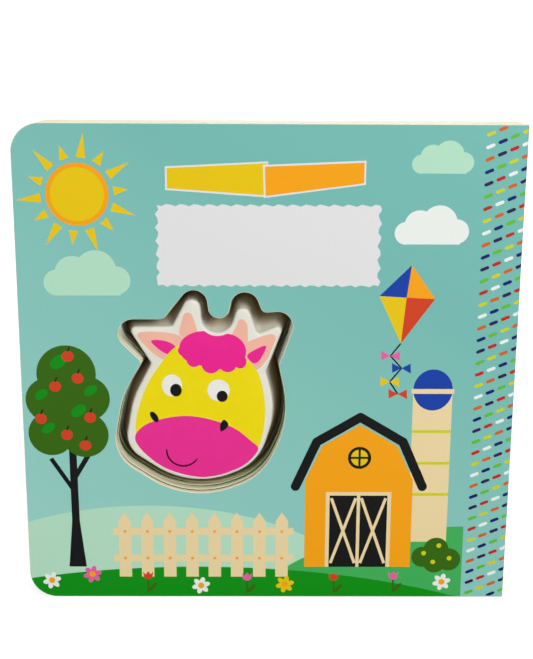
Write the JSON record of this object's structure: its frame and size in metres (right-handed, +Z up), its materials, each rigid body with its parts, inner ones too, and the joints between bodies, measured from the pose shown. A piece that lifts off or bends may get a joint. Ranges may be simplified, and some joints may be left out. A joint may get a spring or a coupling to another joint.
{
  "type": "sound book",
  "caption": "Square children's board book with hinged covers and a soft press-to-squeak animal head in a die-cut window.",
  "frame": {"origin": "middle of the footprint, on the surface that the book stands on", "axes": "+Z up, +X towards the spine, -Y towards the front cover, so the thickness runs along Y"},
  "size_m": [0.175, 0.02, 0.173],
  "materials": {
    "cover_laminate": "gloss laminated print on board",
    "page_board": "cut edges of uncoated grey-cream board",
    "painted_vinyl": "soft moulded vinyl with a satin painted face",
    "plastic_sheet": "thin matt sheet",
    "whistle_plastic": "moulded, satin gloss"
  },
  "bodies": {
    "pages": {"page_block": "page_board", "spine_panel": "cover_laminate"},
    "front_cover": {"front_cover": "cover_laminate"},
    "back_cover": {"back_cover": "cover_laminate", "squeaker_base": "plastic_sheet", "whistle_housing": "whistle_plastic", "whistle_reed": "plastic_sheet"},
    "squeaker_face": {"squeaker_head": "painted_vinyl"}
  },
  "joints": [
    {"name": "front_cover_hinge", "type": "hinge", "parent": "pages", "child": "front_cover", "pos_m": [0.0875, -0.0078, 0], "axis": [0, 0, 1], "range_deg": [0, 180]},
    {"name": "back_cover_hinge", "type": "hinge", "parent": "pages", "child": "back_cover", "pos_m": [0.0875, 0.0078, 0], "axis": [0, 0, -1], "range_deg": [0, 180]},
    {"name": "squeaker_press", "type": "slide", "parent": "back_cover", "child": "squeaker_face", "axis": [0, 1, 0], "range_m": [0, 0.005], "stiffness_N_per_m": 800, "deforming": ["squeaker_head"]}
  ]
}
